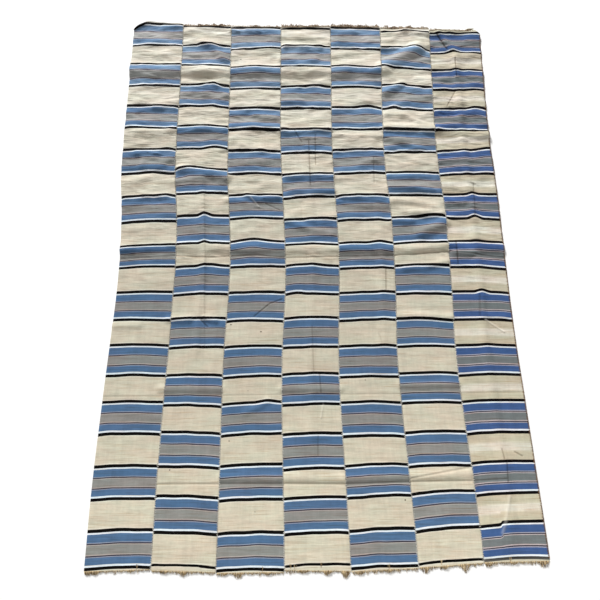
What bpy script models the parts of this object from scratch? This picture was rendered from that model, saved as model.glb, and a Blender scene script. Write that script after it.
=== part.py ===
"""Strip-woven cotton blanket, laid out flat with the creases of its storage folds.

Seven narrow strips are sewn selvedge to selvedge, and the raw warp ends of each strip make a
short fringe at the foot and at the head. Units are metres. The cloth lies on z = 0 with its
length along Y, foot towards -Y, and the origin is under the middle of the whole blanket.
"Along" is the distance from the blanket's foot line, measured towards the head.
"""

import math
from collections import namedtuple

import bmesh
import bpy

# Driving sizes of the cloth.
CLOTH_THICKNESS = 0.0016
PIECE_GAP = 0.0003
FOOT_TIP = -0.018        # along of the longest foot tuft
HEAD_TIP = 1.652         # along of the head edge
ORIGIN_ALONG = (FOOT_TIP + HEAD_TIP) / 2
RUMPLED_FROM = 0.86      # the cloth lies flatter below this row than above it
FLAT_SPACING = 0.050     # widest step between two rows of the cloth's mesh, below it
RUMPLED_SPACING = 0.018  # and above it
ROW_CLOSEST = 0.012      # narrowest step between two rows
FIRST_ROW = 0.055        # the first and the last row that all the strips share
LAST_ROW = 1.585
COLUMNS = 5              # steps across a strip that has no lengthwise crease
COLUMN_CLOSEST = 0.09    # narrowest step between two columns, as a share of the width
FADE = 0.06              # length over which a lengthwise crease runs out
SHORTEST = 1e-6          # distances are divided by no less than this

# The sections: where the left edge, the six seams and the right edge cross each of them.
Section = namedtuple("Section", "along left seam_1 seam_2 seam_3 seam_4 seam_5 seam_6 right")
SECTIONS = (
    Section(0.00, -0.550, -0.390, -0.234, -0.069, 0.090, 0.253, 0.411, 0.570),
    Section(0.20, -0.552, -0.391, -0.234, -0.074, 0.083, 0.244, 0.404, 0.564),
    Section(0.42, -0.548, -0.388, -0.236, -0.079, 0.074, 0.233, 0.391, 0.557),
    Section(0.56, -0.544, -0.384, -0.235, -0.078, 0.073, 0.230, 0.387, 0.552),
    Section(0.70, -0.540, -0.383, -0.229, -0.072, 0.078, 0.235, 0.391, 0.550),
    Section(0.82, -0.541, -0.382, -0.228, -0.072, 0.080, 0.236, 0.392, 0.550),
    Section(0.96, -0.549, -0.389, -0.236, -0.078, 0.076, 0.234, 0.392, 0.550),
    Section(1.08, -0.562, -0.401, -0.245, -0.084, 0.070, 0.226, 0.385, 0.549),
    Section(1.21, -0.565, -0.405, -0.248, -0.089, 0.067, 0.223, 0.382, 0.546),
    Section(1.44, -0.568, -0.406, -0.250, -0.090, 0.069, 0.228, 0.387, 0.551),
    Section(1.62, -0.570, -0.409, -0.252, -0.091, 0.070, 0.232, 0.392, 0.556),
)

# The strips: along of the cloth's foot and head edges, on the strip's left and right side.
Strip = namedtuple("Strip", "foot_left foot_right head_left head_right")
STRIPS = (
    Strip(0.001, 0.006, 1.652, 1.646),
    Strip(0.003, -0.001, 1.640, 1.638),
    Strip(-0.003, -0.001, 1.636, 1.634),
    Strip(0.003, 0.001, 1.634, 1.634),
    Strip(0.000, 0.007, 1.636, 1.633),
    Strip(0.008, 0.018, 1.629, 1.625),
    Strip(0.019, 0.022, 1.619, 1.616),
)

# The folds in which the cloth lies, from the head to the foot: height of the crest, how far its
# slope reaches towards the foot and towards the head, and the points (x, along) that the crest
# runs through.
Fold = namedtuple("Fold", "height foot_reach head_reach crest")
FOLDS = (
    Fold(0.0091, 0.028, 0.045, ((-0.600, 1.455), (-0.250, 1.450), (0.020, 1.452), (0.240, 1.456))),
    Fold(0.0104, 0.040, 0.030, ((0.228, 1.468), (0.262, 1.492), (0.310, 1.522), (0.350, 1.548))),
    Fold(0.0046, 0.014, 0.018, ((0.236, 1.545), (0.290, 1.547))),
    Fold(0.0046, 0.014, 0.018, ((0.330, 1.553), (0.392, 1.552))),
    Fold(0.0065, 0.016, 0.022, ((-0.075, 1.550), (0.035, 1.550))),
    Fold(0.0065, 0.020, 0.022, ((-0.092, 1.497), (0.022, 1.497))),
    Fold(0.0072, 0.024, 0.022, ((-0.345, 1.566), (-0.318, 1.560), (-0.296, 1.532), (-0.268, 1.498))),
    Fold(0.0046, 0.014, 0.018, ((-0.300, 1.405), (-0.262, 1.362))),
    Fold(0.0072, 0.020, 0.026, ((0.236, 1.372), (0.262, 1.384), (0.292, 1.402))),
    Fold(0.0059, 0.016, 0.020, ((0.420, 1.606), (0.446, 1.566), (0.462, 1.540))),
    Fold(0.0046, 0.016, 0.016, ((0.462, 1.505), (0.466, 1.432))),
    Fold(0.0052, 0.016, 0.022, ((-0.170, 1.288), (-0.110, 1.278))),
    Fold(0.0046, 0.014, 0.018, ((0.240, 1.292), (0.292, 1.288), (0.332, 1.266))),
    Fold(0.0065, 0.020, 0.026, ((-0.425, 1.234), (-0.340, 1.239), (-0.262, 1.239))),
    Fold(0.0065, 0.018, 0.026, ((-0.240, 1.246), (-0.120, 1.244), (-0.080, 1.234))),
    Fold(0.0059, 0.016, 0.022, ((-0.070, 1.228), (0.015, 1.234), (0.064, 1.234))),
    Fold(0.0084, 0.024, 0.028, ((0.232, 1.238), (0.300, 1.242), (0.388, 1.238))),
    Fold(0.0052, 0.018, 0.022, ((0.392, 1.228), (0.470, 1.222), (0.545, 1.218))),
    Fold(0.0065, 0.022, 0.024, ((-0.565, 1.226), (-0.500, 1.230), (-0.430, 1.230))),
    Fold(0.0052, 0.020, 0.024, ((0.238, 1.206), (0.285, 1.192), (0.332, 1.170))),
    Fold(0.0046, 0.018, 0.022, ((-0.210, 1.178), (-0.145, 1.172))),
    Fold(0.0046, 0.016, 0.020, ((-0.520, 1.155), (-0.455, 1.152))),
    Fold(0.0052, 0.018, 0.024, ((-0.500, 1.108), (-0.440, 1.112))),
    Fold(0.0072, 0.022, 0.022, ((-0.385, 1.100), (-0.300, 1.088), (-0.248, 1.070))),
    Fold(0.0052, 0.018, 0.020, ((-0.070, 1.074), (0.065, 1.076))),
    Fold(0.0046, 0.014, 0.018, ((-0.060, 1.026), (0.065, 1.026))),
    Fold(0.0052, 0.015, 0.020, ((0.236, 1.040), (0.300, 1.036), (0.378, 1.024))),
    Fold(0.0046, 0.014, 0.018, ((0.236, 1.074), (0.375, 1.072))),
    Fold(0.0065, 0.018, 0.018, ((-0.185, 1.010), (-0.150, 0.999), (-0.098, 1.004))),
    Fold(0.0046, 0.018, 0.024, ((0.095, 1.008), (0.210, 1.002))),
    Fold(0.0046, 0.018, 0.020, ((0.240, 0.992), (0.300, 0.990), (0.370, 0.972))),
    Fold(0.0046, 0.016, 0.020, ((0.402, 0.990), (0.452, 0.988))),
    Fold(0.0078, 0.026, 0.026, ((0.318, 0.890), (0.350, 0.904), (0.388, 0.922))),
    Fold(0.0059, 0.018, 0.020, ((0.296, 0.952), (0.380, 0.954))),
    Fold(0.0046, 0.014, 0.018, ((0.238, 0.930), (0.292, 0.926))),
    Fold(0.0055, 0.022, 0.026, ((-0.570, 0.840), (-0.380, 0.846), (-0.150, 0.842),
                                (0.080, 0.840), (0.236, 0.842), (0.393, 0.850), (0.550, 0.838))),
    Fold(0.0052, 0.015, 0.018, ((-0.560, 0.836), (-0.510, 0.838))),
    Fold(0.0059, 0.018, 0.020, ((0.410, 0.828), (0.460, 0.826))),
    Fold(0.0046, 0.015, 0.018, ((-0.390, 0.632), (-0.330, 0.632))),
    Fold(0.0046, 0.013, 0.016, ((-0.296, 0.636), (-0.262, 0.628))),
    Fold(0.0046, 0.014, 0.018, ((0.240, 0.640), (0.300, 0.642), (0.382, 0.636))),
    Fold(0.0026, 0.012, 0.016, ((0.470, 0.640), (0.530, 0.636))),
    Fold(0.0026, 0.014, 0.018, ((-0.560, 0.612), (-0.470, 0.614))),
    Fold(0.0029, 0.014, 0.018, ((-0.400, 0.440), (-0.240, 0.440))),
    Fold(0.0029, 0.014, 0.018, ((-0.080, 0.440), (0.075, 0.440))),
    Fold(0.0033, 0.014, 0.018, ((0.236, 0.450), (0.385, 0.452))),
    Fold(0.0026, 0.014, 0.016, ((-0.175, 0.378), (-0.140, 0.392), (-0.115, 0.408))),
    Fold(0.0026, 0.014, 0.020, ((-0.230, 0.216), (0.080, 0.214), (0.395, 0.222))),
)

# The creases that run along a strip, at a share of its width from its left side.
LongFold = namedtuple("LongFold", "strip share along_from along_to height half_width")
LONG_FOLDS = (
    LongFold(2, 0.50, 0.56, 1.08, 0.0035, 0.020),
    LongFold(4, 0.50, 0.33, 1.27, 0.0020, 0.020),
    LongFold(5, 0.77, 0.58, 1.16, 0.0020, 0.020),
    LongFold(7, 0.50, 0.12, 1.52, 0.0035, 0.022),
)

# A head corner: how far in and how far down the cut across it runs, and how high it lifts.
Corner = namedtuple("Corner", "inward down lift reach")
TURNED_CORNER = Corner(0.042, 0.030, 0.004, 0.075)   # left, turned under
DRAWN_CORNER = Corner(0.018, 0.018, 0.002, 0.040)    # right, drawn in

# Driving sizes of the fringe.
LOCKS_PER_STRIP = 20
LOCK_MARGIN = 0.036      # from the strip's side to its first lock, as a share of the width
BACKING_DEPTH = 0.0026
BACKING_THICKNESS = 0.0012
ROOT_WIDTH = 0.0034
TIP_WIDTH = 0.0014
TIP_THICKNESS = 0.0007
LOCK_SWAY = 0.0024       # how far a lock's tip leans to one side
FOOT_LOCK_LENGTH = 0.0062
HEAD_LOCK_LENGTH = 0.0050
LOCK_UNEVENNESS = 0.55   # share of the length by which the locks differ
LENGTH_WAVE = 2.4        # steps, in radians from lock to lock, of the waves that vary them
LENGTH_BEAT = 1.1
SWAY_WAVE = 1.9
STRIP_WAVE = 1.3         # and from strip to strip
TUFT_HALF_WIDTH = 0.13   # as a share of the strip's width
HEAD_FRINGES = (2, 3, 4, 5, 6, 7)
FOOT_FRINGES = (1, 2, 3, 4, 5, 6, 7)

# Tufts: where raw ends hang together, and how long their longest lock is.
Tuft = namedtuple("Tuft", "strip share length")
FOOT_TUFTS = (
    Tuft(1, 0.06, 0.008),
    Tuft(2, 0.50, 0.011),
    Tuft(3, 0.32, 0.012),
    Tuft(4, 0.64, 0.011),
    Tuft(4, 0.92, 0.0164),
    Tuft(5, 0.13, 0.009),
    Tuft(6, 0.10, 0.013),
    Tuft(6, 0.71, 0.018),
    Tuft(7, 0.06, 0.010),
    Tuft(7, 0.90, 0.015),
)
HEAD_TUFTS = (
    Tuft(2, 0.80, 0.008),
    Tuft(4, 0.40, 0.010),
    Tuft(5, 0.35, 0.009),
    Tuft(6, 0.60, 0.012),
    Tuft(7, 0.90, 0.009),
)

COTTON_COLOUR = (0.50, 0.51, 0.49)
DARK_COTTON_COLOUR = (0.40, 0.44, 0.50)
RAW_COTTON_COLOUR = (0.55, 0.42, 0.26)
COTTON_ROUGHNESS = 0.92


def smooth_between(before, start, end, after, t):
    """Catmull-Rom curve from start to end."""
    slope_start = (end - before) / 2
    slope_end = (after - start) / 2
    start_weight = 2 * t ** 3 - 3 * t ** 2 + 1
    pull_start = t ** 3 - 2 * t ** 2 + t
    pull_end = t ** 3 - t ** 2
    blend = start * start_weight + end * (1 - start_weight)
    return blend + slope_start * pull_start + slope_end * pull_end


def seam_x(line, along):
    """Place of a long line of the blanket: 0 is its left edge, 1 to 6 the seams, 7 its right edge.

    Outside the rows that all the strips share, the lines run on straight.
    """
    column = line + 1
    last = len(SECTIONS) - 1
    upper = 1
    while upper < last and SECTIONS[upper].along < along:
        upper += 1
    lower = upper - 1
    start = SECTIONS[lower]
    end = SECTIONS[upper]
    t = (along - start.along) / (end.along - start.along)
    if along <= FIRST_ROW or along >= LAST_ROW:
        return start[column] + (end[column] - start[column]) * t
    before = SECTIONS[max(lower - 1, 0)]
    after = SECTIONS[min(upper + 1, last)]
    return smooth_between(before[column], start[column], end[column], after[column], t)


def hump(distance, half_width):
    """1 on a crease's crest, falling smoothly to 0 at half_width from it."""
    if distance >= half_width:
        return 0.0
    return 0.5 + 0.5 * math.cos(math.pi * distance / half_width)


def run_out(value, start, end):
    """1 between start and end, fading to 0 over the length FADE outside them."""
    outside = max(start - value, value - end, 0.0)
    return hump(outside, FADE)


def fold_lift(x, along, fold):
    """Lift of the cloth by one fold, by its distance from the nearest run of the crest.

    The slope's reach turns evenly from one side's to the other's around the crest's ends.
    """
    nearest = math.inf
    side = 0.0
    for (start_x, start_along), (end_x, end_along) in zip(fold.crest[:-1], fold.crest[1:]):
        run_x = end_x - start_x
        run_along = end_along - start_along
        run = math.hypot(run_x, run_along)
        from_x = x - start_x
        from_along = along - start_along
        t = (from_x * run_x + from_along * run_along) / run ** 2
        t = min(max(t, 0.0), 1.0)
        distance = math.hypot(from_x - run_x * t, from_along - run_along * t)
        if distance < nearest:
            nearest = distance
            headward = (run_x * from_along - run_along * from_x) / run
            side = min(max(headward / max(distance, SHORTEST), -1.0), 1.0)
    reach = fold.foot_reach + (fold.head_reach - fold.foot_reach) * (0.5 + 0.5 * side)
    return fold.height * hump(nearest, reach)


def corner_lift(x, along, corner, corner_x, corner_along):
    """Lift of the cloth around a head corner."""
    return corner.lift * hump(math.hypot(x - corner_x, along - corner_along), corner.reach)


def cloth_lift(x, along):
    """Height of the cloth's underside above the ground. It is 0 wherever the cloth lies flat."""
    lifts = []
    for fold in FOLDS:
        lifts.append(fold_lift(x, along, fold))
    for fold in LONG_FOLDS:
        left = seam_x(fold.strip - 1, along)
        right = seam_x(fold.strip, along)
        crest_x = left + (right - left) * fold.share
        share = run_out(along, fold.along_from, fold.along_to)
        lifts.append(fold.height * share * hump(abs(x - crest_x), fold.half_width))
    head_left = STRIPS[0].head_left
    head_right = STRIPS[-1].head_right
    lifts.append(corner_lift(x, along, TURNED_CORNER, seam_x(0, head_left), head_left))
    lifts.append(corner_lift(x, along, DRAWN_CORNER, seam_x(7, head_right), head_right))
    return math.sqrt(sum(lift ** 2 for lift in lifts))


def spread(start, end, widest):
    """Even steps from start to end, none wider than widest, without the two ends."""
    steps = math.ceil((end - start) / widest)
    return [start + (end - start) * i / steps for i in range(1, steps)]


def shared_rows():
    """The rows of every strip's mesh, with one on each crest and one at each slope's foot."""
    places = []
    for fold in FOLDS:
        crest = sum(along for x, along in fold.crest) / len(fold.crest)
        places += [crest - fold.foot_reach, crest, crest + fold.head_reach]
    rows = [FIRST_ROW]
    for place in sorted(places) + [LAST_ROW]:
        if place - rows[-1] > ROW_CLOSEST and place <= LAST_ROW:
            spacing = RUMPLED_SPACING if place > RUMPLED_FROM else FLAT_SPACING
            rows += spread(rows[-1], place, spacing) + [place]
    return rows


def strip_columns(number):
    """The columns of a strip's mesh, as shares of its width, with three on each of its creases."""
    width = seam_x(number, 1.0) - seam_x(number - 1, 1.0)
    columns = []
    for fold in LONG_FOLDS:
        if fold.strip == number:
            step = fold.half_width / width
            columns += [fold.share - step, fold.share, fold.share + step]
    for i in range(COLUMNS + 1):
        place = i / COLUMNS
        if all(abs(place - other) > COLUMN_CLOSEST for other in columns):
            columns.append(place)
    return sorted(columns)


def side_x(number, along):
    """Left and right side of a strip, half a gap in from its seams."""
    left = seam_x(number - 1, along) + PIECE_GAP / 2
    right = seam_x(number, along) - PIECE_GAP / 2
    return left, right


def cut_corner(along, edge_along, corner):
    """How far a corner's cut runs in from the side at a row."""
    return corner.inward * max(along - (edge_along - corner.down), 0.0) / corner.down


def cloth_point(number, share, along):
    """A point of a strip's underside."""
    left, right = side_x(number, along)
    if number == 1:
        left += cut_corner(along, STRIPS[0].head_left, TURNED_CORNER)
    if number == len(STRIPS):
        right -= cut_corner(along, STRIPS[-1].head_right, DRAWN_CORNER)
    x = left + (right - left) * share
    return x, along - ORIGIN_ALONG, cloth_lift(x, along)


def make_material(name, colour):
    """A plain cotton finish."""
    material = bpy.data.materials.new(name)
    material.use_nodes = True
    shader = material.node_tree.nodes["Principled BSDF"]
    shader.inputs["Base Color"].default_value = (*colour, 1.0)
    shader.inputs["Roughness"].default_value = COTTON_ROUGHNESS
    shader.inputs["Metallic"].default_value = 0.0
    return material


def make_object(name, bm, colour, parent):
    """One named piece from a finished bmesh."""
    bmesh.ops.recalc_face_normals(bm, faces=bm.faces)
    mesh = bpy.data.meshes.new(name)
    bm.to_mesh(mesh)
    bm.free()
    mesh.materials.append(make_material(name + "_cotton", colour))
    piece = bpy.data.objects.new(name, mesh)
    piece.parent = parent
    bpy.context.scene.collection.objects.link(piece)
    return piece


def thicken(bm, thickness):
    """Turn an open sheet into a closed one, straight up, and return its upper points."""
    result = bmesh.ops.extrude_face_region(bm, geom=bm.faces[:])
    upper = [item for item in result["geom"] if isinstance(item, bmesh.types.BMVert)]
    bmesh.ops.translate(bm, verts=upper, vec=(0.0, 0.0, thickness))
    return upper


def make_strip(number, parent):
    """One woven strip: a sheet over its rows and columns, lifted along the creases."""
    strip = STRIPS[number - 1]
    rows = shared_rows()
    if number == 1:
        rows.append(strip.head_left - TURNED_CORNER.down)
    if number == len(STRIPS):
        rows.append(strip.head_right - DRAWN_CORNER.down)
    columns = strip_columns(number)
    across = len(columns) - 1
    upward = len(rows) + 1
    bm = bmesh.new()
    bmesh.ops.create_grid(bm, x_segments=across, y_segments=upward, size=0.5)
    for vert in bm.verts:
        share = columns[round((vert.co.x + 0.5) * across)]
        row = round((vert.co.y + 0.5) * upward)
        if row == 0:
            along = strip.foot_left + (strip.foot_right - strip.foot_left) * share
        elif row == upward:
            along = strip.head_left + (strip.head_right - strip.head_left) * share
        else:
            along = rows[row - 1]
        vert.co = cloth_point(number, share, along)
    thicken(bm, CLOTH_THICKNESS)
    colour = DARK_COTTON_COLOUR if number == len(STRIPS) else COTTON_COLOUR
    make_object(f"strip_{number}", bm, colour, parent)


def lock_length(number, index, share, tufts, usual):
    """Length of one lock: the usual one, uneven from lock to lock, and longer in a tuft."""
    wave = math.sin(index * LENGTH_WAVE + number * STRIP_WAVE)
    unevenness = wave * math.cos(index * LENGTH_BEAT + number)
    length = usual * (1 + LOCK_UNEVENNESS * unevenness)
    for tuft in tufts:
        if tuft.strip == number:
            length = max(length, tuft.length * hump(abs(share - tuft.share), TUFT_HALF_WIDTH))
    return length


def make_fringe(number, end, parent):
    """The raw warp ends of one strip, standing out of a narrow backing at its foot or head."""
    strip = STRIPS[number - 1]
    if end == "foot":
        outward = -1
        edge_left, edge_right = strip.foot_left, strip.foot_right
        tufts, usual = FOOT_TUFTS, FOOT_LOCK_LENGTH
    else:
        outward = 1
        edge_left, edge_right = strip.head_left, strip.head_right
        tufts, usual = HEAD_TUFTS, HEAD_LOCK_LENGTH

    def point(bm, share, offset):
        """A ground point, at a share of the width and an offset outward from the cloth."""
        along = edge_left + (edge_right - edge_left) * share + outward * offset
        left, right = side_x(number, along)
        if number == len(STRIPS) and end == "head":
            right -= DRAWN_CORNER.inward
        return bm.verts.new((left + (right - left) * share, along - ORIGIN_ALONG, 0.0))

    bm = bmesh.new()
    width = seam_x(number, edge_left) - seam_x(number - 1, edge_left)
    front = PIECE_GAP + BACKING_DEPTH
    outline = [point(bm, 1.0, PIECE_GAP), point(bm, 0.0, PIECE_GAP), point(bm, 0.0, front)]
    tips = []
    for index in range(LOCKS_PER_STRIP):
        share = LOCK_MARGIN + (1 - 2 * LOCK_MARGIN) * index / (LOCKS_PER_STRIP - 1)
        root_half = ROOT_WIDTH / 2 / width
        tip_half = TIP_WIDTH / 2 / width
        lean = LOCK_SWAY / width * math.sin(index * SWAY_WAVE + number * STRIP_WAVE)
        length = lock_length(number, index, share, tufts, usual)
        roots = [point(bm, share - root_half, front), point(bm, share + root_half, front)]
        ends = [
            point(bm, share + lean + tip_half, front + length),
            point(bm, share + lean - tip_half, front + length),
        ]
        bm.faces.new(roots + ends)
        outline += roots
        tips += [(vert.co.x, vert.co.y) for vert in ends]
    outline.append(point(bm, 1.0, front))
    bm.faces.new(outline)
    bmesh.ops.recalc_face_normals(bm, faces=bm.faces)
    for vert in thicken(bm, BACKING_THICKNESS):
        if (vert.co.x, vert.co.y) in tips:
            vert.co.z = TIP_THICKNESS
    make_object(f"{end}_fringe_{number}", bm, RAW_COTTON_COLOUR, parent)


def main():
    """Build the blanket."""
    for item in list(bpy.data.objects):
        bpy.data.objects.remove(item, do_unlink=True)
    blanket = bpy.data.objects.new("blanket", None)
    bpy.context.scene.collection.objects.link(blanket)
    for number in range(1, len(STRIPS) + 1):
        make_strip(number, blanket)
    for number in FOOT_FRINGES:
        make_fringe(number, "foot", blanket)
    for number in HEAD_FRINGES:
        make_fringe(number, "head", blanket)


main()
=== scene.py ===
import math
import random

import bmesh
import bpy
import numpy as np
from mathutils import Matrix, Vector, noise


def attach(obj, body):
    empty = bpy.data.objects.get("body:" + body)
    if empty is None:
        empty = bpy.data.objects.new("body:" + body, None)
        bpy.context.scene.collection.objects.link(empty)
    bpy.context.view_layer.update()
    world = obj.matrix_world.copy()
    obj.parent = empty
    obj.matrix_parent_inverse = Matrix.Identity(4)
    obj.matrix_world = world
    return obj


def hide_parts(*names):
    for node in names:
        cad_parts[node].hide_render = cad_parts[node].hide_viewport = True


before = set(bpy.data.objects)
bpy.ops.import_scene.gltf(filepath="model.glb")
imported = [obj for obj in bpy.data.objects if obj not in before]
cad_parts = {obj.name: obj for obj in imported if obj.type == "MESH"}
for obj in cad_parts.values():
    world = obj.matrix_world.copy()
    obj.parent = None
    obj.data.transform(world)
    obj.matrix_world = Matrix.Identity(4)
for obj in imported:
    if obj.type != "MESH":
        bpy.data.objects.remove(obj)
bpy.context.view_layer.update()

# Strip-woven cotton blanket laid out on a pale floor. Metres; x runs across, y along, and
# "along" counts from the foot line towards the head.
print("blanket: sizes and folds")

blanket = {
    "thickness": 0.0016,
    "footTip": -0.018,
    "headTip": 1.652,
    "straightBelow": 0.055,     # the long lines run straight below and above these two rows
    "straightAbove": 1.585,
    "seamGap": 0.0003,
    "foldFade": 0.06,           # a soft fold runs out over this length
    "length": 1.64,             # nominal, gives the number of rows in a strip's mesh
    "widthAt": 0.8,             # the strips' widths are taken at this row
    "smoothAngle": 50,          # an edge sharper than this, in degrees, stays crisp
}
originAlong = (blanket["footTip"] + blanket["headTip"]) / 2

# along, left edge, six seams, right edge
sections = np.array([
    (0.00, -0.550, -0.390, -0.234, -0.069, 0.090, 0.253, 0.411, 0.570),
    (0.20, -0.552, -0.391, -0.234, -0.074, 0.083, 0.244, 0.404, 0.564),
    (0.42, -0.548, -0.388, -0.236, -0.079, 0.074, 0.233, 0.391, 0.557),
    (0.56, -0.544, -0.384, -0.235, -0.078, 0.073, 0.230, 0.387, 0.552),
    (0.70, -0.540, -0.383, -0.229, -0.072, 0.078, 0.235, 0.391, 0.550),
    (0.82, -0.541, -0.382, -0.228, -0.072, 0.080, 0.236, 0.392, 0.550),
    (0.96, -0.549, -0.389, -0.236, -0.078, 0.076, 0.234, 0.392, 0.550),
    (1.08, -0.562, -0.401, -0.245, -0.084, 0.070, 0.226, 0.385, 0.549),
    (1.21, -0.565, -0.405, -0.248, -0.089, 0.067, 0.223, 0.382, 0.546),
    (1.44, -0.568, -0.406, -0.250, -0.090, 0.069, 0.228, 0.387, 0.551),
    (1.62, -0.570, -0.409, -0.252, -0.091, 0.070, 0.232, 0.392, 0.556),
])

# along of each strip's foot and head edge, at its left and right side
stripEnds = [
    {"foot": (0.001, 0.006), "head": (1.652, 1.646)},
    {"foot": (0.003, -0.001), "head": (1.640, 1.638)},
    {"foot": (-0.003, -0.001), "head": (1.636, 1.634)},
    {"foot": (0.003, 0.001), "head": (1.634, 1.634)},
    {"foot": (0.000, 0.007), "head": (1.636, 1.633)},
    {"foot": (0.008, 0.018), "head": (1.629, 1.625)},
    {"foot": (0.019, 0.022), "head": (1.619, 1.616)},
]
stripCount = len(stripEnds)

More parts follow.
